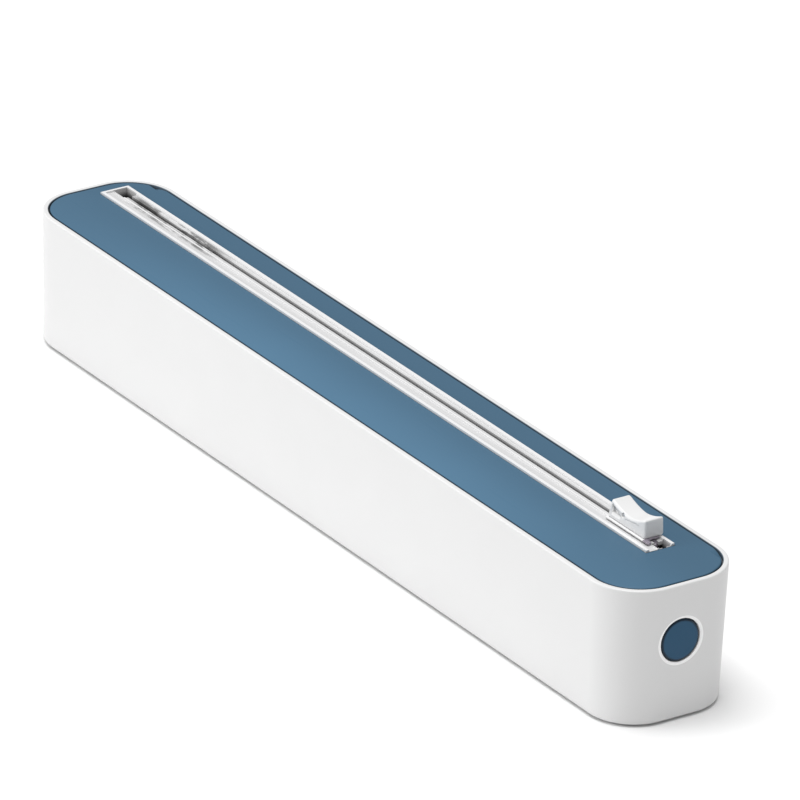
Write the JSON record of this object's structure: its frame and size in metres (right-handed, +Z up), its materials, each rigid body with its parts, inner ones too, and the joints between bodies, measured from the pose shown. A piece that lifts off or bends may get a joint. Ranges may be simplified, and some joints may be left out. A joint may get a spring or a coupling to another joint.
{
  "type": "cling film dispenser",
  "caption": "Long white box for a roll of cling film with a flush blue hinged lid, a cutter rail with a sliding blade grip and a round release button on one end.",
  "frame": {"origin": "middle of the base, on the surface that the rubber feet stand on", "axes": "+X along the box towards the end with the release button, +Y towards the hinge side at the back, +Z up"},
  "size_m": [0.35, 0.049, 0.0556],
  "materials": {
    "white_plastic": "smooth semi-gloss white moulding",
    "inner_plastic": "satin white moulding",
    "blue_plastic": "satin slate-blue moulding",
    "button_plastic": "satin dark slate-blue moulding",
    "grip_plastic": "smooth white moulding",
    "clear_plastic": "polished frosted-clear moulding",
    "foot_rubber": "matte grey rubber",
    "screw_steel": "zinc-plated steel",
    "bracket_steel": "stamped stainless steel",
    "spring_steel": "drawn spring wire",
    "blade_steel": "ground stainless steel",
    "cling_film": "wound clear film",
    "core_board": "plain spiral-wound board"
  },
  "bodies": {
    "box": {"body_shell": "white_plastic", "rubber_feet": "foot_rubber", "cradle_left": "inner_plastic", "cradle_right": "inner_plastic", "cradle_screws": "screw_steel", "hinge_bracket_left": "bracket_steel", "hinge_bracket_middle": "bracket_steel", "hinge_bracket_right": "bracket_steel", "hinge_screws": "screw_steel", "latch_bracket": "inner_plastic", "bracket_screws": "screw_steel", "latch_spring": "spring_steel"},
    "lid": {"lid_panel": "blue_plastic", "lid_frame": "inner_plastic", "lid_screws": "screw_steel", "cutter_rail": "clear_plastic", "rail_screws": "screw_steel", "hinge_pin_left": "bracket_steel", "hinge_pin_middle": "bracket_steel", "hinge_pin_right": "bracket_steel", "lid_catch": "inner_plastic", "catch_screws": "screw_steel"},
    "slider": {"slider_grip": "grip_plastic", "slider_shoe": "clear_plastic", "cutter_blade": "blade_steel", "blade_pin": "screw_steel"},
    "button": {"release_button": "button_plastic", "latch_slide": "inner_plastic"},
    "roll": {"film_roll": "cling_film", "core_tube": "core_board", "roll_plug_left": "inner_plastic", "roll_plug_right": "inner_plastic"}
  },
  "joints": [
    {"name": "lid_hinge", "type": "hinge", "parent": "box", "child": "lid", "pos_m": [0, 0.0209, 0.0466], "axis": [-1, 0, 0], "range_deg": [0, 90]},
    {"name": "slider_slide", "type": "slide", "parent": "lid", "child": "slider", "axis": [1, 0, 0], "range_m": [-0.282, 0.002]},
    {"name": "button_press", "type": "slide", "parent": "box", "child": "button", "axis": [-1, 0, 0], "range_m": [0, 0.0025], "stiffness_N_per_m": 600, "springref_m": -0.003, "deforming": ["latch_spring"]},
    {"name": "roll_spin", "type": "hinge", "parent": "box", "child": "roll", "pos_m": [0, 0, 0.0215], "axis": [1, 0, 0], "continuous": true}
  ]
}
